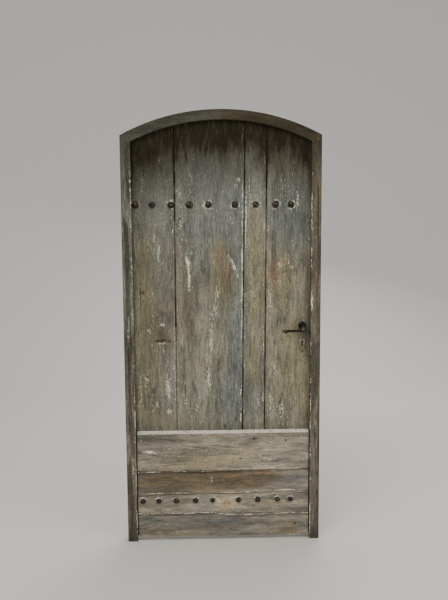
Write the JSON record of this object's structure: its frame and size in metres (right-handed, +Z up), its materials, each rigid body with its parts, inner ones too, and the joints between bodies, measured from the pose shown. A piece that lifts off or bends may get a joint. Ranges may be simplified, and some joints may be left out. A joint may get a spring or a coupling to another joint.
{
  "type": "arched wooden door",
  "caption": "Plank door with an arched top in its wooden frame, nailed to ledges behind, with a nailed apron, lever handle, rim lock and strap hinges; it swings inwards.",
  "frame": {"origin": "middle of the frame's foot: X = 0 is the middle of the opening, Z = 0 the foot of the jambs, Y = 0 the rear plane of frame and planks, midway between the two levers' outermost points", "axes": "+X right and +Z up as seen from outside, -Y towards the outside, +Y into the room"},
  "size_m": [0.99, 0.184, 2.191],
  "materials": {
    "frame_wood": "weathered paint, matt",
    "painted_plank": "weathered grey-green paint, matt",
    "apron_wood": "worn paint over bare wood, matt",
    "bare_oak": "aged bare wood, matt",
    "forged_iron": "forged, dark, slightly rusted",
    "handle_iron": "blackened, worn",
    "painted_iron": "painted over with the door",
    "lock_iron": "dark, oiled",
    "steel": "worn bright"
  },
  "bodies": {
    "frame": {"left_jamb": "frame_wood", "right_jamb": "frame_wood", "arched_head": "frame_wood", "head_pegs": "frame_wood", "upper_pintle": "forged_iron", "lower_pintle": "forged_iron", "pintle_nails": "lock_iron", "lock_keeper": "lock_iron", "keeper_nails": "lock_iron"},
    "leaf": {"hinge_side_plank": "painted_plank", "wide_plank": "painted_plank", "narrow_plank": "painted_plank", "lock_side_plank": "painted_plank", "upper_ledge": "bare_oak", "lower_ledge": "bare_oak", "apron_top_board": "apron_wood", "apron_second_board": "apron_wood", "apron_third_board": "apron_wood", "apron_bottom_board": "apron_wood", "upper_nails": "forged_iron", "lower_nails": "forged_iron", "apron_pins": "forged_iron", "apron_back_nails": "lock_iron", "upper_strap": "forged_iron", "lower_strap": "forged_iron", "lock_case": "lock_iron", "lock_case_nails": "lock_iron", "escutcheon": "painted_iron", "escutcheon_pins": "painted_iron", "outer_rose": "handle_iron", "inner_rose": "handle_iron", "latch_spring": "steel"},
    "handle": {"outer_lever": "handle_iron", "inner_lever": "handle_iron", "spindle": "steel", "lever_pins": "handle_iron", "follower": "steel"},
    "latch": {"latch_bolt": "steel"},
    "deadbolt": {"deadbolt": "steel"}
  },
  "joints": [
    {"name": "leaf_swing", "type": "hinge", "parent": "frame", "child": "leaf", "pos_m": [-0.464, 0.0305, 0], "axis": [0, 0, 1], "range_deg": [0, 100]},
    {"name": "lever_turn", "type": "hinge", "parent": "leaf", "child": "handle", "pos_m": [0.406, 0, 1.12], "axis": [0, -1, 0], "range_deg": [0, 40], "stiffness_Nm_per_rad": 0.9, "springref_deg": -22.92},
    {"name": "latch_slide", "type": "slide", "parent": "leaf", "child": "latch", "axis": [1, 0, 0], "range_m": [-0.012, 0], "deforming": ["latch_spring"]},
    {"name": "deadbolt_slide", "type": "slide", "parent": "leaf", "child": "deadbolt", "axis": [1, 0, 0], "range_m": [0, 0.018]}
  ],
  "couplings": [
    {"joint": "latch_slide", "follows": "lever_turn", "m_per_rad": -0.01718}
  ]
}
